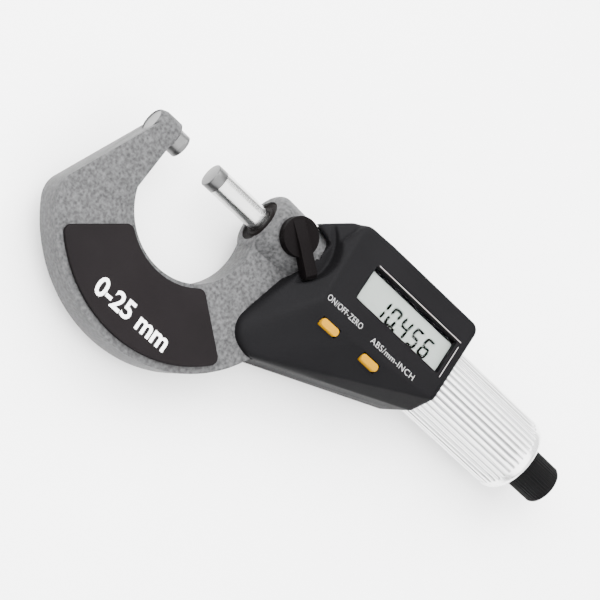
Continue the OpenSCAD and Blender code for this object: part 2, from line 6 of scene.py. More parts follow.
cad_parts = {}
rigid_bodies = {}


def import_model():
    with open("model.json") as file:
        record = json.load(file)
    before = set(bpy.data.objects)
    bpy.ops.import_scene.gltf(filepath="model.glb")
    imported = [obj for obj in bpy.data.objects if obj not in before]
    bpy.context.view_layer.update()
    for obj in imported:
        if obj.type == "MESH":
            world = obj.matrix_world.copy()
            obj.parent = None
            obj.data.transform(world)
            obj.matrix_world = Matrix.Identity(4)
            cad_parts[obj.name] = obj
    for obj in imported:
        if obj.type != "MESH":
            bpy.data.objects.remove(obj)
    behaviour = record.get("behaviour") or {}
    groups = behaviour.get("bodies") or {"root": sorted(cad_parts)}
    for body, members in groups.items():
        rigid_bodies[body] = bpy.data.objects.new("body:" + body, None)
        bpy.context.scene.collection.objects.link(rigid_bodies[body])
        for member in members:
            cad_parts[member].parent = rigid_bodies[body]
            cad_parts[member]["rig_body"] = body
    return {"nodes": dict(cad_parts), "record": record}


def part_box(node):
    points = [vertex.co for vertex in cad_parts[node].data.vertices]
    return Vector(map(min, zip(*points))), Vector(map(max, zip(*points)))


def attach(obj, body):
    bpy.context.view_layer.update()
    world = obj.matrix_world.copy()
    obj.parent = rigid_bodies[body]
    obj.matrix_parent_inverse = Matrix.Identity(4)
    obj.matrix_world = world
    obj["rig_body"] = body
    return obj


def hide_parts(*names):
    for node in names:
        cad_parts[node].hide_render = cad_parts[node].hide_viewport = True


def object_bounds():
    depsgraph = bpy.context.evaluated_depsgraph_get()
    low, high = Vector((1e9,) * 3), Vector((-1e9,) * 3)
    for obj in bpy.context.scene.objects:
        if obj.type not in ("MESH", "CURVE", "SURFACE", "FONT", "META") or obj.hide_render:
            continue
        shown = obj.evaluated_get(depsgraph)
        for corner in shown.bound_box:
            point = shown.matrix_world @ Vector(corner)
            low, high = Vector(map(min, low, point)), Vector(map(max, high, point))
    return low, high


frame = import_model()
nodes = frame["nodes"]
cadLow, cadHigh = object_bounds()
mm = 0.001
print("frame loaded:", len(nodes), "nodes")


# small tools

def selectOnly(*objs):
    for o in list(bpy.context.selected_objects):
        o.select_set(False)
    for o in objs:
        o.select_set(True)
    bpy.context.view_layer.objects.active = objs[0]


def applyAll(obj):
    selectOnly(obj)
    for mod in list(obj.modifiers):
        bpy.ops.object.modifier_apply(modifier=mod.name)


def smoothByAngle(obj, angle=35):
    selectOnly(obj)
    bpy.ops.object.shade_smooth_by_angle(angle=math.radians(angle))


def freeze(obj):
    selectOnly(obj)
    bpy.ops.object.transform_apply(location=True, rotation=True, scale=True)


def finish(obj, material, body, slotName, *replaced, angle=35):
    freeze(obj)
    smoothByAngle(obj, angle)
    obj.data.materials.clear()
    obj.data.materials.append(material)
    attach(obj, body)
    if replaced:
        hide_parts(*replaced)
    return obj


def mergedCopy(node, name, flatAngle=0.6):
    mesh = nodes[node].data.copy()
    piece = bpy.data.objects.new(name, mesh)
    bpy.context.scene.collection.objects.link(piece)
    selectOnly(piece)
    bpy.ops.object.mode_set(mode="EDIT")
    bpy.ops.mesh.select_all(action="SELECT")
    bpy.ops.mesh.remove_doubles(threshold=0.002 * mm)
    bpy.ops.mesh.dissolve_limited(angle_limit=math.radians(flatAngle))
    bpy.ops.object.mode_set(mode="OBJECT")
    return piece


def roundEdges(piece, width, segments=3, angle=30):
    edge = piece.modifiers.new("edgeRound", "BEVEL")
    edge.width = width * mm
    edge.segments = segments
    edge.limit_method = "ANGLE"
    edge.angle_limit = math.radians(angle)
    edge.use_clamp_overlap = True
    edge.miter_outer = "MITER_ARC"
    applyAll(piece)
    return piece


def cutAway(piece, *tools):
    for tool in tools:
        cut = piece.modifiers.new("cut", "BOOLEAN")
        cut.operation = "DIFFERENCE"
        cut.solver = "EXACT"
        cut.object = tool
        applyAll(piece)
        bpy.data.objects.remove(tool)
    return piece


def rodAlongX(x, xEnd, r, sides=96):
    bpy.ops.object.select_all(action="DESELECT")
    bpy.ops.mesh.primitive_cylinder_add(vertices=sides, radius=r * mm, depth=(xEnd - x) * mm,
                                        location=((x + xEnd) / 2 * mm, 0, 0), rotation=(0, math.pi / 2, 0))
    return bpy.context.object


def blockAt(low, high):
    bpy.ops.object.select_all(action="DESELECT")
    centre = [(a + b) / 2 * mm for a, b in zip(low, high)]
    bpy.ops.mesh.primitive_cube_add(size=1, location=centre)
    block = bpy.context.object
    block.scale = [(b - a) * mm for a, b in zip(low, high)]
    freeze(block)
    return block


def joinInto(name, *parts):
    selectOnly(*parts)
    if len(parts) > 1:
        bpy.ops.object.join()
    joined = bpy.context.object
    joined.name = name
    return joined


# materials

def newFinish(name, colour, roughness, metallic=0.0, specular=0.5):
    material = bpy.data.materials.new(name)
    material.use_nodes = True
    shader = material.node_tree.nodes["Principled BSDF"]
    shader.inputs["Base Color"].default_value = (*colour, 1)
    shader.inputs["Roughness"].default_value = roughness
    shader.inputs["Metallic"].default_value = metallic
    shader.inputs["Specular IOR Level"].default_value = specular
    return material, shader


def addNode(material, kind, **values):
    node = material.node_tree.nodes.new(kind)
    for key, value in values.items():
        if key in node.inputs:
            node.inputs[key].default_value = value
        else:
            setattr(node, key, value)
    return node


def wire(material, source, output, target, socket):
    material.node_tree.links.new(source.outputs[output], target.inputs[socket])


def place(material, scale=(1, 1, 1), turn=(0, 0, 0)):
    coords = addNode(material, "ShaderNodeTexCoord")
    mapping = addNode(material, "ShaderNodeMapping")
    mapping.inputs["Scale"].default_value = scale
    mapping.inputs["Rotation"].default_value = turn
    wire(material, coords, "Object", mapping, "Vector")
    return mapping


def noiseOn(material, mapping, scale, detail=4.0, rough=0.5):
    noise = addNode(material, "ShaderNodeTexNoise")
    noise.inputs["Scale"].default_value = scale
    noise.inputs["Detail"].default_value = detail
    noise.inputs["Roughness"].default_value = rough
    wire(material, mapping, "Vector", noise, "Vector")
    return noise


def ramp(material, source, output, stops):
    band = addNode(material, "ShaderNodeValToRGB")
    band.color_ramp.elements[0].position = stops[0][0]
    band.color_ramp.elements[0].color = stops[0][1]
    band.color_ramp.elements[1].position = stops[-1][0]
    band.color_ramp.elements[1].color = stops[-1][1]
    for position, colour in stops[1:-1]:
        mid = band.color_ramp.elements.new(position)
        mid.color = colour
    wire(material, source, output, band, "Fac")
    return band


def opaque(colour, factor=1.0):
    return (*[min(c * factor, 1) for c in colour], 1)


def grey(v):
    return (v, v, v, 1)


def bumpFrom(material, shader, source, output, strength, distance, under=None):
    bump = addNode(material, "ShaderNodeBump")
    bump.inputs["Strength"].default_value = strength
    bump.inputs["Distance"].default_value = distance * mm
    wire(material, source, output, bump, "Height")
    if under:
        wire(material, under, "Normal", bump, "Normal")
    wire(material, bump, "Normal", shader, "Normal")
    return bump


def hammeredEnamel():
    values = {"low": (0.019, 0.019, 0.0194), "mid": (0.037, 0.037, 0.0378), "high": (0.072, 0.072, 0.0735),
              "cell": 1300, "fleck": 3200}
    material, shader = newFinish("hammeredEnamel", values["mid"], 0.5, 0.0, 0.1)
    mapping = place(material)
    cells = addNode(material, "ShaderNodeTexVoronoi")
    cells.feature = "SMOOTH_F1"
    cells.inputs["Scale"].default_value = values["cell"]
    wire(material, mapping, "Vector", cells, "Vector")
    cloud = noiseOn(material, mapping, values["cell"] * 0.8, 5, 0.6)
    mix = addNode(material, "ShaderNodeMath", operation="MULTIPLY_ADD")
    wire(material, cells, "Distance", mix, 0)
    mix.inputs[1].default_value = 0.45
    wire(material, cloud, "Fac", mix, 2)
    tone = ramp(material, mix, 0, [(0.4, opaque(values["low"])), (0.62, opaque(values["mid"])),
                                   (0.95, opaque(values["high"]))])
    wire(material, tone, "Color", shader, "Base Color")
    gloss = ramp(material, cloud, "Fac", [(0.3, grey(0.44)), (0.7, grey(0.6))])
    wire(material, gloss, "Color", shader, "Roughness")
    dimples = bumpFrom(material, shader, mix, 0, 0.35, 0.12)
    fleck = noiseOn(material, mapping, values["fleck"], 3)
    bumpFrom(material, shader, fleck, "Fac", 0.12, 0.04, dimples)
    return material


def mouldedPlastic(name, colour, roughness, grain, depth, specular=0.45):
    material, shader = newFinish(name, colour, roughness, 0.0, specular)
    mapping = place(material)
    broad = noiseOn(material, mapping, 60, 3)
    tone = ramp(material, broad, "Fac", [(0.3, opaque(colour, 0.9)), (0.7, opaque(colour, 1.12))])
    wire(material, tone, "Color", shader, "Base Color")
    fine = noiseOn(material, mapping, grain, 4, 0.6)
    gloss = ramp(material, fine, "Fac", [(0.3, grey(roughness - 0.05)), (0.7, grey(roughness + 0.07))])
    wire(material, gloss, "Color", shader, "Roughness")
    bumpFrom(material, shader, fine, "Fac", 0.25, depth)
    return material


def turnedMetal(name, colour, roughness, lines, depth, metallic=1.0, spread=0.08, along=(1, 0.02, 0.02)):
    material, shader = newFinish(name, colour, roughness, metallic)
    mapping = place(material, along)
    streak = noiseOn(material, mapping, lines, 5, 0.7)
    dark, light = opaque(colour, 1 - spread), opaque(colour, 1 + spread)
    tone = ramp(material, streak, "Fac", [(0.3, dark), (0.7, light)])
    wire(material, tone, "Color", shader, "Base Color")
    gloss = ramp(material, streak, "Fac", [(0.3, grey(roughness - 0.05)), (0.7, grey(roughness + 0.08))])
    wire(material, gloss, "Color", shader, "Roughness")
    bumpFrom(material, shader, streak, "Fac", 0.15, depth)
    return material


def clearPane():
    material, shader = newFinish("clearPane", (0.96, 0.98, 0.98), 0.03)
    shader.inputs["Transmission Weight"].default_value = 1.0
    shader.inputs["IOR"].default_value = 1.1
    mapping = place(material)
    haze = noiseOn(material, mapping, 90, 3)
    gloss = ramp(material, haze, "Fac", [(0.3, grey(0.02)), (0.7, grey(0.05))])
    wire(material, gloss, "Color", shader, "Roughness")
    return material


def lcdFace():
    material, shader = newFinish("lcdFace", (0.22, 0.232, 0.218), 0.35, 0.0, 0.2)
    mapping = place(material)
    broad = noiseOn(material, mapping, 45, 2)
    tone = ramp(material, broad, "Fac", [(0.3, (0.213, 0.226, 0.211, 1)), (0.7, (0.229, 0.242, 0.226, 1))])
    wire(material, tone, "Color", shader, "Base Color")
    fine = noiseOn(material, mapping, 4000, 2)
    bumpFrom(material, shader, fine, "Fac", 0.1, 0.01)
    return material


enamel = hammeredEnamel()
gripPlastic = mouldedPlastic("gripPlastic", (0.0058, 0.005, 0.0053), 0.55, 2600, 0.03, 0.02)
housingPlastic = mouldedPlastic("housingPlastic", (0.0042, 0.0041, 0.0045), 0.55, 2200, 0.035, 0.025)
leverPlastic = mouldedPlastic("leverPlastic", (0.0022, 0.0018, 0.0019), 0.5, 2200, 0.03, 0.02)
knobPlastic = mouldedPlastic("knobPlastic", (0.0028, 0.0027, 0.0029), 0.5, 2400, 0.03, 0.03)
rubberBlack = mouldedPlastic("rubberBlack", (0.0034, 0.0027, 0.0026), 0.6, 1800, 0.03, 0.03)
buttonYellow = mouldedPlastic("buttonYellow", (0.26, 0.125, 0.0015), 0.5, 2600, 0.02, 0.03)
elastomerPink = mouldedPlastic("elastomerPink", (0.6, 0.3, 0.32), 0.6, 1500, 0.02)
boardGreen = mouldedPlastic("boardGreen", (0.02, 0.14, 0.06), 0.35, 900, 0.02)
ground = turnedMetal("groundSteel", (0.5, 0.5, 0.495), 0.2, 2600, 0.001, 1.0, 0.04)
# darker copy of the ground steel for the anvil: painted shade
anvilShadedSteel = turnedMetal("anvilShadedSteel", (0.11, 0.11, 0.11), 0.36, 2600, 0.001, 1.0, 0.06)
lapped = turnedMetal("lappedHardMetal", (0.08, 0.08, 0.08), 0.32, 3000, 0.001, 0.9)
chromed = turnedMetal("satinChrome", (0.7, 0.7, 0.71), 0.22, 1500, 0.004)
satin = turnedMetal("satinAluminium", (0.86, 0.86, 0.86), 0.27, 2200, 0.006, 0.8, 0.04)
bronze = turnedMetal("turnedBronze", (0.55, 0.36, 0.14), 0.32, 1800, 0.006)
copperFilm = turnedMetal("copperFilm", (0.55, 0.3, 0.09), 0.4, 900, 0.003)
paneClear = clearPane()
lcdGlass = lcdFace()
inkWhite = mouldedPlastic("inkWhite", (0.8, 0.8, 0.79), 0.5, 3000, 0.004)
segmentInk = mouldedPlastic("segmentInk", (0.002, 0.0025, 0.002), 0.5, 3000, 0.002, 0.02)
labelInk = mouldedPlastic("labelInk", (0.3, 0.3, 0.3), 0.5, 3000, 0.002, 0.1)
# bright metal for the painted highlight strips at the window's edges
highlightStripMetal = turnedMetal("highlightStripMetal", (0.42, 0.40, 0.40), 0.3, 2000, 0.002)

slotFinish = {"enamelled_bow": enamel, "grip_plastic": gripPlastic, "housing_plastic": housingPlastic,
              "hard_metal": lapped, "ground_steel": ground, "chromed_steel": chromed, "thimble_metal": satin,
              "bronze": bronze, "black_rubber": rubberBlack, "black_plastic": knobPlastic,
              "yellow_rubber": buttonYellow, "clear_pane": paneClear, "lcd_glass": lcdGlass,
              "board_laminate": boardGreen, "copper_film": copperFilm, "pink_elastomer": elastomerPink}
# the anvil gets a darker, rougher copy of the ground steel; the darker colour is painted shade
nodeFinish = {"anvil": anvilShadedSteel}
for part in frame["record"]["subparts"]:
    holder = nodes[part["node"]]
    holder.data.materials.clear()
    holder.data.materials.append(nodeFinish.get(part["node"], slotFinish[part["material_slot"]]))
    smoothByAngle(holder, 30)
print("finishes set on the nodes")


# camera and light

# angles in degrees, the rest in millimetres; the eye stands aside from and below the origin
viewShape = {"turn": 38.2, "tilt": 32.0, "sensor": 36, "lens": 181.8, "distance": 726.6,
             "aside": 28.5364, "below": 36.6898}


def addCamera(v):
    a, t = math.radians(v["turn"]), math.radians(v["tilt"])
    right = Vector((math.cos(a) * math.cos(t), math.sin(a) * math.cos(t), math.sin(t)))
    down = Vector((math.sin(a), -math.cos(a), 0))
    toCamera = Vector((-math.cos(a) * math.sin(t), -math.sin(a) * math.sin(t), math.cos(t)))
    eye = (toCamera * v["distance"] + right * v["aside"] + down * v["below"]) * mm
    data = bpy.data.cameras.new("benchCamera")
    data.sensor_width = v["sensor"]
    data.lens = v["lens"]
    data.clip_start = 0.05
    data.clip_end = 20
    camera = bpy.data.objects.new("benchCamera", data)
    bpy.context.scene.collection.objects.link(camera)
    turn = Matrix((right, -down, toCamera)).transposed()
    camera.matrix_world = Matrix.Translation(eye) @ turn.to_4x4()
    bpy.context.scene.camera = camera
    return right, down, toCamera


right, down, toCamera = addCamera(viewShape)

lightSet = {
    "key": {"side": (0.1, -0.6, 1.0), "size": 0.9, "power": 44.0},
    "fill": {"side": (0.5, 0.45, 0.75), "size": 1.7, "power": 50.0},
    "rim": {"side": (0.7, -0.6, 0.35), "size": 0.7, "power": 20.0},
    "reach": 1.0, "sky": 0.9, "flag": (0.41, -0.88, 0.16), "flagFrom": 0.8, "flagTo": 0.9,
}


def addLights(v):
    centre = Vector((0.058, -0.018, 0.0))
    for name in ("key", "fill", "rim"):
        spec = v[name]
        # side is given along the picture: right, down, towards the camera
        way = (right * spec["side"][0] + down * spec["side"][1] + toCamera * spec["side"][2]).normalized()
        data = bpy.data.lights.new(name + "Light", "AREA")
        data.size = spec["size"]
        data.energy = spec["power"]
        lamp = bpy.data.objects.new(name + "Light", data)
        lamp.location = centre + way * v["reach"]
        lamp.rotation_euler = (-way).to_track_quat("-Z", "Y").to_euler()
        bpy.context.scene.collection.objects.link(lamp)
    world = bpy.data.worlds.new("softRoom")
    bpy.context.scene.world = world
    world.use_nodes = True
    tree = world.node_tree
    background = tree.nodes["Background"]
    background.inputs["Strength"].default_value = v["sky"]
    # a dark card stands low on one side, so that polished round parts show its edge
    coords = tree.nodes.new("ShaderNodeTexCoord")
    facing = tree.nodes.new("ShaderNodeVectorMath")
    facing.operation = "DOT_PRODUCT"
    facing.inputs[1].default_value = Vector(v["flag"]).normalized()
    tree.links.new(coords.outputs["Generated"], facing.inputs[0])
    shade = tree.nodes.new("ShaderNodeValToRGB")
    shade.color_ramp.elements[0].position = v["flagFrom"]
    shade.color_ramp.elements[0].color = (1, 1, 1, 1)
    shade.color_ramp.elements[1].position = v["flagTo"]
    shade.color_ramp.elements[1].color = (0.03, 0.03, 0.03, 1)
    tree.links.new(facing.outputs["Value"], shade.inputs["Fac"])
    tree.links.new(shade.outputs["Color"], background.inputs["Color"])


addLights(lightSet)


def addFloor():
    bpy.ops.object.select_all(action="DESELECT")
    bpy.ops.mesh.primitive_plane_add(size=4, location=(0.05, 0, cadLow.z - 0.0001))
    floor = bpy.context.object
    floor.name = "benchFloor"
    freeze(floor)
    material, shader = newFinish("paleFloor", (0.93, 0.93, 0.93), 0.7)
    mapping = place(material)
    grain = noiseOn(material, mapping, 30, 3)
    tone = ramp(material, grain, "Fac", [(0.3, grey(0.92)), (0.7, grey(0.94))])
    wire(material, tone, "Color", shader, "Base Color")
    floor.data.materials.append(material)


addFloor()
print("camera, lights and floor")


# bow

bowShape = {"edge": 0.9, "segments": 4, "plateEdge": 0.45}


def makeBow(v):
    bow = mergedCopy("frame", "castBow")
    roundEdges(bow, v["edge"], v["segments"], 40)
    finish(bow, enamel, "body", "enamelled_bow", "frame", angle=40)
    for node in ("front_grip_plate", "rear_grip_plate"):
        plate = mergedCopy(node, node.replace("_", "") + "Soft")
        roundEdges(plate, v["plateEdge"], 3, 50)
        finish(plate, gripPlastic, "body", "grip_plastic", node, angle=40)


makeBow(bowShape)
print("bow and grip plates")


def makeLettering(words, name, size, spot, z, thick, material, slotName, body="body", spread=1.0,
                  bold=0.0, width=0.0):
    bpy.ops.object.select_all(action="DESELECT")
    bpy.ops.object.text_add(location=(0, 0, 0))
    text = bpy.context.object
    text.name = name
    text.data.body = words
    text.data.size = size * mm
    text.data.align_x = "CENTER"
    text.data.align_y = "CENTER"
    text.data.space_character = spread
    text.data.offset = bold * mm
    text.data.extrude = thick / 2 * mm
    text.data.resolution_u = 4
    selectOnly(text)
    bpy.ops.object.convert(target="MESH")
    text = bpy.context.object
    slim = width * mm / text.dimensions.x if width else 1
    text.scale = (slim, 1, 1)
    text.location = (spot[0] * mm, spot[1] * mm, (z + thick / 2) * mm)
    return finish(text, material, body, slotName, angle=30)


plateMark = {"words": "0-25 mm", "size": 6.6, "spot": (12.2, -41.6), "z": 5.18, "thick": 0.06, "bold": 0.16}
makeLettering(plateMark["words"], "rangeMark", plateMark["size"], plateMark["spot"], plateMark["z"],
              plateMark["thick"], inkWhite, "clear_pane", bold=plateMark["bold"])
print("range mark")


# housing

housingShape = {
    # plan corners: x, y, radius, height of the side there, width of the rounding
    "sides": [(41.9, -23.4, 6, 5.9, 1.6), (43.6, -28.4, 1.4, 5.9, 1.0), (86.9, -11.6, 1.3, 8.4, 0.8),
              (44.2, -4.2, 1.0, 6.7, 0.7)],
    "tops": [(85.7, 11.3, 2.5), (48.4, 10.8, 3.0), (47.7, -9.5, 1.3), (61, -11.1, 1.3), (86.9, -8.2, 1.3),
             (47.5, 6, 1.3)],
    "ear": [(39.9, 7.2, 1.0, 8.2), (43.0, 9.4, 1.3, 9.6), (45.6, 10.9, 1.8, 12.0), (48.4, 10.8, 2.6, 13.0),
            (47, 4, 1, 12)],
    "topEdge": 0.9, "faceZ": 14.5, "seam": 1.2, "wall": 1.8,
    "voxel": 0.34, "edgePasses": 4, "lobePasses": 70,
    "lobeFrom": 13.5, "lobeTo": 18, "lobeEnd": 60, "lobeFade": 8,
    "lobeX": 34.6, "scoop": 11.0, "scoopZ": 9.2, "collarEnd": 43.3, "collarR": 9.2,
    "bossR": (8.82, 8.2), "bossX": 34.25, "bossLong": 28.5, "boreX": (62.2, 90), "boreR": 11,
    "web": ((20, -60, -6), (45.5, -4, 4)), "bridge": ((45, -12.2, -6), (62.2, -9, 4)),
    "window": (30.2, 9.7), "windowZ": (10, 16), "button": (6.0, 2.4), "buttonZ": (5, 16),
    "buttonSpots": ((53.2, -13.25), (67.55, -13.0)),
}


def roundedPost(x, y, r, z, zEnd, edge, sides=40):
    bpy.ops.object.select_all(action="DESELECT")
    bpy.ops.mesh.primitive_cylinder_add(vertices=sides, radius=r * mm, depth=(zEnd - z) * mm,
                                        location=(x * mm, y * mm, (z + zEnd) / 2 * mm))
    post = bpy.context.object
    if edge:
        bpy.ops.object.mode_set(mode="EDIT")
        bpy.ops.mesh.select_mode(type="EDGE")
        bpy.ops.mesh.select_all(action="DESELECT")
        bpy.ops.object.mode_set(mode="OBJECT")
        top = (zEnd - z) / 2 * mm
        for e in post.data.edges:
            ends = [post.data.vertices[i].co.z for i in e.vertices]
            e.select = min(ends) > top - 1e-6 if edge > 0 else max(ends) < -top + 1e-6
        bpy.ops.object.mode_set(mode="EDIT")
        bpy.ops.mesh.bevel(offset=min(abs(edge), r * 0.9) * mm, segments=5, affect="EDGES")
        bpy.ops.object.mode_set(mode="OBJECT")
    freeze(post)
    return post


def hullOf(name, parts):
    body = joinInto(name, *parts)
    bpy.ops.object.mode_set(mode="EDIT")
    bpy.ops.mesh.select_all(action="SELECT")
    bpy.ops.mesh.convex_hull(delete_unused=True, use_existing_faces=False, make_holes=False,
                             join_triangles=False)
    bpy.ops.mesh.select_all(action="SELECT")
    bpy.ops.mesh.remove_doubles(threshold=0.004 * mm)
    bpy.ops.mesh.dissolve_limited(angle_limit=math.radians(0.3))
    bpy.ops.mesh.normals_make_consistent(inside=False)
    bpy.ops.object.mode_set(mode="OBJECT")
    return body


def frontForm(v, z, inset):
    parts = []
    for x, y, r, high, edge in v["sides"]:
        parts.append(roundedPost(x, y, max(r - inset, 0.3), z, high - inset, edge if inset == 0 else 0))
    for x, y, r in v["tops"]:
        low = z if (x, y, r) in v["tops"][:2] else v["faceZ"] - inset - 2.5
        edge = v["topEdge"] if inset == 0 else 0
        parts.append(roundedPost(x, y, max(r - inset, 0.3), low, v["faceZ"] - inset, edge))
    return hullOf("frontForm", parts)


def frontEar(v):
    parts = [roundedPost(x, y, r, v["seam"] - 2, high, 0.5) for x, y, r, high in v["ear"]]
    return hullOf("frontEar", parts)


def joinUnion(piece, other):
    both = piece.modifiers.new("both", "BOOLEAN")
    both.operation = "UNION"
    both.solver = "EXACT"
    both.object = other
    applyAll(piece)
    bpy.data.objects.remove(other)
    return piece


def softened(piece, v):
    grid = piece.modifiers.new("evenGrid", "REMESH")
    grid.mode = "VOXEL"
    grid.voxel_size = v["voxel"] * mm
    applyAll(piece)
    lobe = piece.vertex_groups.new(name="lobe")
    for vert in piece.data.vertices:
        x, y, z = [c / mm for c in vert.co]
        away = (math.hypot(x - v["lobeX"], y) - v["lobeFrom"]) / (v["lobeTo"] - v["lobeFrom"])
        reach = min(max(min(away, (v["lobeEnd"] - x - 0.25 * y) / v["lobeFade"]), 0), 1)
        lobe.add([vert.index], reach * reach * (3 - 2 * reach), "REPLACE")
    for name, passes, group in (("edges", v["edgePasses"], ""), ("lobe", v["lobePasses"], "lobe")):
        soft = piece.modifiers.new(name, "SMOOTH")
        soft.factor = 0.5
        soft.iterations = passes
        soft.vertex_group = group
    applyAll(piece)
    return piece


def bossTool(v):
    bpy.ops.object.select_all(action="DESELECT")
    bpy.ops.mesh.primitive_cone_add(vertices=96, radius1=v["bossR"][0] * mm, radius2=v["bossR"][1] * mm,
                                    depth=v["bossLong"] * mm, location=(v["bossX"] * mm, 0, 0),
                                    rotation=(0, math.pi / 2, 0))
    tool = bpy.context.object
    freeze(tool)
    return tool


def makeFrontShell(v):
    shell = joinUnion(frontForm(v, v["seam"] - 2, 0), frontEar(v))
    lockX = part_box("lock_shaft")[0].x / mm + 2
    scoop = roundedPost(lockX, 0, v["scoop"], v["scoopZ"], 20, 0, 96)
    cutAway(shell, scoop, rodAlongX(25, v["collarEnd"], v["collarR"]))
    softened(shell, v)
    hollow = frontForm(v, v["seam"] - 4, v["wall"])
    cutAway(hollow, roundedPost(lockX, 0, v["scoop"] + v["wall"] / 2, -10, 30, 0, 96))
    web = blockAt(*v["web"])
    below = blockAt((20, -60, -20), (120, 40, v["seam"]))
    bridge = blockAt(*v["bridge"])
    buttons = [buttonTool(v, x, y) for x, y in v["buttonSpots"]]
    bore = rodAlongX(*v["boreX"], v["boreR"])
    cutAway(shell, below, hollow, web, bossTool(v), bore, bridge, windowTool(v), *buttons)
    shell.name = "frontShell"
    return shell


def windowTool(v):
    low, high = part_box("lcd_window")
    cx, cy = (low.x + high.x) / 2 / mm, (low.y + high.y) / 2 / mm
    l, w = v["window"]
    z, zEnd = v["windowZ"]
    return blockAt((cx - l / 2, cy - w / 2, z), (cx + l / 2, cy + w / 2, zEnd))


def buttonTool(v, x, y):
    l, w = v["button"]
    z, zEnd = v["buttonZ"]
    return blockAt((x - l / 2, y - w / 2, z), (x + l / 2, y + w / 2, zEnd))


def finishShell(shell, *replaced):
    freeze(shell)
    smoothByAngle(shell, 28)
    applyAll(shell)
    shell.data.materials.clear()
    shell.data.materials.append(housingPlastic)
    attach(shell, "body")
    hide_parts(*replaced)


frontShell = makeFrontShell(housingShape)
finishShell(frontShell, "housing_front")
print("front shell", len(frontShell.data.polygons))

rearShell = mergedCopy("housing_rear", "rearShell")
roundEdges(rearShell, 0.35, 2, 35)
finishShell(rearShell, "housing_rear")
print("rear shell")


# display

displayShape = {"digits": "10.456", "height": 5.6, "wide": 3.05, "pitch": 4.05, "bar": 0.82, "gap": 0.22,
                "lean": 0.16, "point": (-0.62, -0.2), "corner": (60.9, -2.5), "mask": 0.85}
barsOf = {"0": "abcdef", "1": "bc", "4": "bcfg", "5": "acdfg", "6": "acdefg"}


def barPoly(kind, w, h, t, gap):
    half = h / 2
    k = t / 2
    spots = {
        "a": ((gap, h - k), (w - gap, h - k)), "g": ((gap, half), (w - gap, half)),
        "d": ((gap, k), (w - gap, k)),
        "f": ((k, h - gap), (k, half + gap)), "e": ((k, half - gap), (k, gap)),
        "b": ((w - k, h - gap), (w - k, half + gap)), "c": ((w - k, half - gap), (w - k, gap)),
    }
    (x1, y1), (x2, y2) = spots[kind]
    if y1 == y2:
        return [(x1, y1), (x1 + k, y1 + k), (x2 - k, y2 + k), (x2, y2), (x2 - k, y2 - k), (x1 + k, y1 - k)]
    return [(x1, y1), (x1 - k, y1 - k), (x2 - k, y2 + k), (x2, y2), (x2 + k, y2 + k), (x1 + k, y1 - k)]


def makeDigits(v, x0, y0, z):
    verts, faces = [], []
    x = x0
    for digit in v["digits"]:
        outlines = []
        if digit == ".":
            s = v["bar"] * 0.6
            dotX, dotY = v["point"]
            low, high = dotY, dotY + 2 * s
            outlines = [[(dotX - s, low), (dotX + s, low), (dotX + s, high), (dotX - s, high)]]
        else:
            outlines = [barPoly(kind, v["wide"], v["height"], v["bar"], v["gap"]) for kind in barsOf[digit]]
        for outline in outlines:
            start = len(verts)
            verts += [((x + px + v["lean"] * py) * mm, (y0 + py) * mm, z * mm) for px, py in outline]
            faces.append(list(range(start, start + len(outline))))
        if digit != ".":
            x += v["pitch"]
    mesh = bpy.data.meshes.new("digits")
    mesh.from_pydata(verts, [], faces)
    piece = bpy.data.objects.new("displayDigits", mesh)
    bpy.context.scene.collection.objects.link(piece)
    selectOnly(piece)
    bpy.ops.object.mode_set(mode="EDIT")
    bpy.ops.mesh.select_all(action="SELECT")
    bpy.ops.mesh.normals_make_consistent(inside=False)
    bpy.ops.object.mode_set(mode="OBJECT")
    thick = piece.modifiers.new("ink", "SOLIDIFY")
    thick.thickness = 0.03 * mm
    applyAll(piece)
    return finish(piece, segmentInk, "body", "black_plastic")


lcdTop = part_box("lcd_panel")[1].z / mm
makeDigits(displayShape, *displayShape["corner"], lcdTop + 0.02)


def makeMask(v):
    low, high = [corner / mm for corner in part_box("lcd_window")]
    mask = blockAt((low.x, high.y - 1 - v["mask"], lcdTop + 0.01), (high.x, high.y, lcdTop + 0.07))
    mask.name = "displayMask"
    finish(mask, knobPlastic, "body", "black_plastic")


makeMask(displayShape)
print("display digits")

labelShape = {"size": 2.3, "z": 14.49, "thick": 0.04, "thin": -0.035}
makeLettering("ON/OFF-ZERO", "labelLeft", labelShape["size"], (54.0, -7.9), labelShape["z"],
              labelShape["thick"], labelInk, "clear_pane", bold=labelShape["thin"], spread=1.06, width=12.3)
makeLettering("ABS/mm-INCH", "labelRight", labelShape["size"], (72.0, -8.5), labelShape["z"],
              labelShape["thick"], labelInk, "clear_pane", bold=labelShape["thin"], spread=1.06, width=15.6)
# thin metal strips along the window's top and right edges: a painted highlight standing in for the glint on
# the pane's edge
highlightStripShape = {"wide": 0.15, "above": 0.45, "beside": 1.0, "z": 14.48}


def makeHighlightStrips(v):
    low, high = [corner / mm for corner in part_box("lcd_window")]
    left, right = low.x + 1, high.x - 1
    bottom, top = low.y + 1, high.y - 1
    y = top + v["above"]
    x = right + v["beside"]
    lines = [blockAt((left + 0.6, y, v["z"]), (x, y + v["wide"], v["z"] + 0.05)),
             blockAt((x, bottom - 0.4, v["z"]), (x + v["wide"], y - 1.2, v["z"] + 0.05))]
    piece = joinInto("paneHighlightStrips", *lines)
    finish(piece, highlightStripMetal, "body", "clear_pane")


makeHighlightStrips(highlightStripShape)
print("labels and the window's bright lines")


# thimble

thimbleShape = {
    "flutes": 40, "stepsPerFlute": 6, "depth": 0.42, "front": 73.2, "rear": 124.9, "rFront": 10.6,
    "rRear": 10.35, "stop": 121.6, "lip": 0.3, "bore": 8.6, "end": 2.0, "hole": 1.63,
    "rings": (80, 90, 100, 110, 118),
    "inside": [(120.4, 1.63), (120.3, 2.6), (112.5, 3.6), (112.1, 4.2), (112.1, 7.6), (111.1, 8.6)],
}


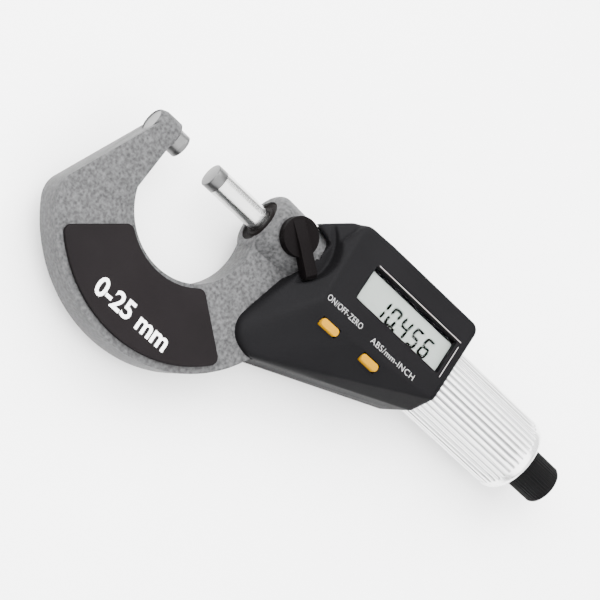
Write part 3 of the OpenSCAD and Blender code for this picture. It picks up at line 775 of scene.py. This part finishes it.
def flutedAluminium(flutes):
    # the dark grooveShade colour is painted shade inside the flute grooves
    values = {"land": (0.84, 0.84, 0.84), "grooveShade": (0.27, 0.27, 0.275), "rough": 0.24}
    material, shader = newFinish("flutedAluminium", values["land"], values["rough"], 0.75)
    mapping = place(material)
    split = addNode(material, "ShaderNodeSeparateXYZ")
    wire(material, mapping, "Vector", split, "Vector")
    around = addNode(material, "ShaderNodeMath", operation="ARCTAN2")
    wire(material, split, "Z", around, 0)
    wire(material, split, "Y", around, 1)
    count = addNode(material, "ShaderNodeMath", operation="MULTIPLY")
    wire(material, around, 0, count, 0)
    count.inputs[1].default_value = flutes / (2 * math.pi)
    phase = addNode(material, "ShaderNodeMath", operation="FRACT")
    wire(material, count, 0, phase, 0)
    # painted shade darkens the grooves of the fluted length only, not the plain rear rim
    rim = addNode(material, "ShaderNodeMath", operation="GREATER_THAN")
    wire(material, split, "X", rim, 0)
    rim.inputs[1].default_value = thimbleShape["stop"] * mm
    plain = addNode(material, "ShaderNodeMath", operation="ADD")
    wire(material, phase, 0, plain, 0)
    wire(material, rim, 0, plain, 1)
    land, grooveShade = opaque(values["land"]), opaque(values["grooveShade"])
    stops = [(0.0, land), (0.2, land), (0.44, grooveShade), (0.56, grooveShade), (0.8, land), (1.0, land)]
    tone = ramp(material, plain, 0, stops)
    wire(material, tone, "Color", shader, "Base Color")
    streak = noiseOn(material, place(material, (0.05, 1, 1)), 1800, 4, 0.6)
    smooth, coarse = grey(values["rough"] - 0.04), grey(values["rough"] + 0.08)
    gloss = ramp(material, streak, "Fac", [(0.3, smooth), (0.7, coarse)])
    wire(material, gloss, "Color", shader, "Roughness")
    bumpFrom(material, shader, streak, "Fac", 0.1, 0.004)
    return material


fluted = flutedAluminium(thimbleShape["flutes"])


def turnedProfile(name, points, steps):
    mesh = bpy.data.meshes.new(name)
    edges = [(i, i + 1) for i in range(len(points) - 1)]
    mesh.from_pydata([(x * mm, 0, r * mm) for x, r in points], edges, [])
    piece = bpy.data.objects.new(name, mesh)
    bpy.context.scene.collection.objects.link(piece)
    selectOnly(piece)
    bpy.ops.object.mode_set(mode="EDIT")
    bpy.ops.mesh.select_all(action="SELECT")
    bpy.ops.mesh.spin(steps=steps, angle=2 * math.pi, center=(0, 0, 0), axis=(1, 0, 0))
    bpy.ops.mesh.select_all(action="SELECT")
    bpy.ops.mesh.remove_doubles(threshold=0.003 * mm)
    bpy.ops.mesh.normals_make_consistent(inside=False)
    bpy.ops.object.mode_set(mode="OBJECT")
    return piece


def makeThimble(v):
    r1, r2, end = v["rFront"], v["rRear"], v["end"]
    outer = [(v["front"], v["bore"]), (v["front"], r1 - v["lip"]), (v["front"] + v["lip"], r1)]
    for x in (*v["rings"], v["stop"] - 0.4, v["stop"], v["stop"] + 0.5):
        outer.append((x, r1 + (r2 - r1) * (x - v["front"]) / (v["rear"] - v["front"])))
    for i in range(9):
        a = math.radians(i * 90 / 8)
        outer.append((v["rear"] - end + end * math.sin(a), r2 - end + end * math.cos(a)))
    outer += [(v["rear"], v["hole"]), *v["inside"], (v["front"], v["bore"])]
    piece = turnedProfile("flutedThimble", outer, v["flutes"] * v["stepsPerFlute"])
    for vert in piece.data.vertices:
        x = vert.co.x / mm
        r = math.hypot(vert.co.y, vert.co.z) / mm
        if x < v["front"] + 0.1 or x > v["stop"] - 0.2 or r < 9.5:
            continue
        a = math.atan2(vert.co.z, vert.co.y) / (2 * math.pi) * v["flutes"]
        phase = a - math.floor(a)
        dip = max(0.0, math.cos((phase - 0.5) * 2 * math.pi)) ** 1.2
        scale = (r - v["depth"] * dip) / r
        vert.co.y *= scale
        vert.co.z *= scale
    finish(piece, fluted, "spindle_group", "thimble_metal", "thimble", angle=50)


makeThimble(thimbleShape)
print("thimble")


# ratchet knob

knobShape = {
    "teeth": 40, "stepsPerTooth": 5, "depth": 0.22, "front": 125.3, "r": 5.65, "bore": 5.25,
    "knurlEnd": 136.0, "rings": (128, 131, 134),
    "inside": [(137.2, 4.4), (134.5, 4.4), (134.5, 4.8), (132.9, 4.8), (132.9, 2.45), (131.6, 2.45),
               (131.6, 5.25)],
}


def makeKnob(v):
    r = v["r"]
    points = [(v["front"], v["bore"]), (v["front"], r - 0.4), (v["front"] + 0.4, r), (v["front"] + 0.9, r)]
    points += [(x, r - 0.05 * (x - v["front"]) / 8) for x in v["rings"]]
    points += [(135.6, r - 0.1), (136.2, r - 0.1), (136.75, r - 0.4), (137.1, r - 1.0), (137.2, r - 1.6)]
    points += [*v["inside"], (v["front"], v["bore"])]
    piece = turnedProfile("knurledKnob", points, v["teeth"] * v["stepsPerTooth"])
    for vert in piece.data.vertices:
        x = vert.co.x / mm
        rr = math.hypot(vert.co.y, vert.co.z) / mm
        if x < v["front"] + 0.5 or x > v["knurlEnd"] or rr < 5.3:
            continue
        a = math.atan2(vert.co.z, vert.co.y) / (2 * math.pi) * v["teeth"]
        dip = abs((a - math.floor(a)) * 2 - 1)
        scale = (rr - v["depth"] * dip) / rr
        vert.co.y *= scale
        vert.co.z *= scale
    finish(piece, knobPlastic, "knob", "black_plastic", "ratchet_knob", angle=40)


makeKnob(knobShape)
print("knob")


# lock lever, buttons, small turned parts

for node, edge in (("lock_lever", 0.35), ("button_left", 0.25), ("button_right", 0.25), ("knob_cap", 0.3),
                   ("battery_cap", 0.2), ("anvil_tip", 0.06), ("spindle_tip", 0.06), ("spindle_seal", 0.08)):
    part = next(p for p in frame["record"]["subparts"] if p["node"] == node)
    soft = mergedCopy(node, node.replace("_", "") + "Soft")
    roundEdges(soft, edge, 3, 40)
    use = leverPlastic if node == "lock_lever" else slotFinish[part["material_slot"]]
    finish(soft, use, nodes[node]["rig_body"], part["material_slot"], node, angle=40)
print("lever, buttons and tips")

print("done")
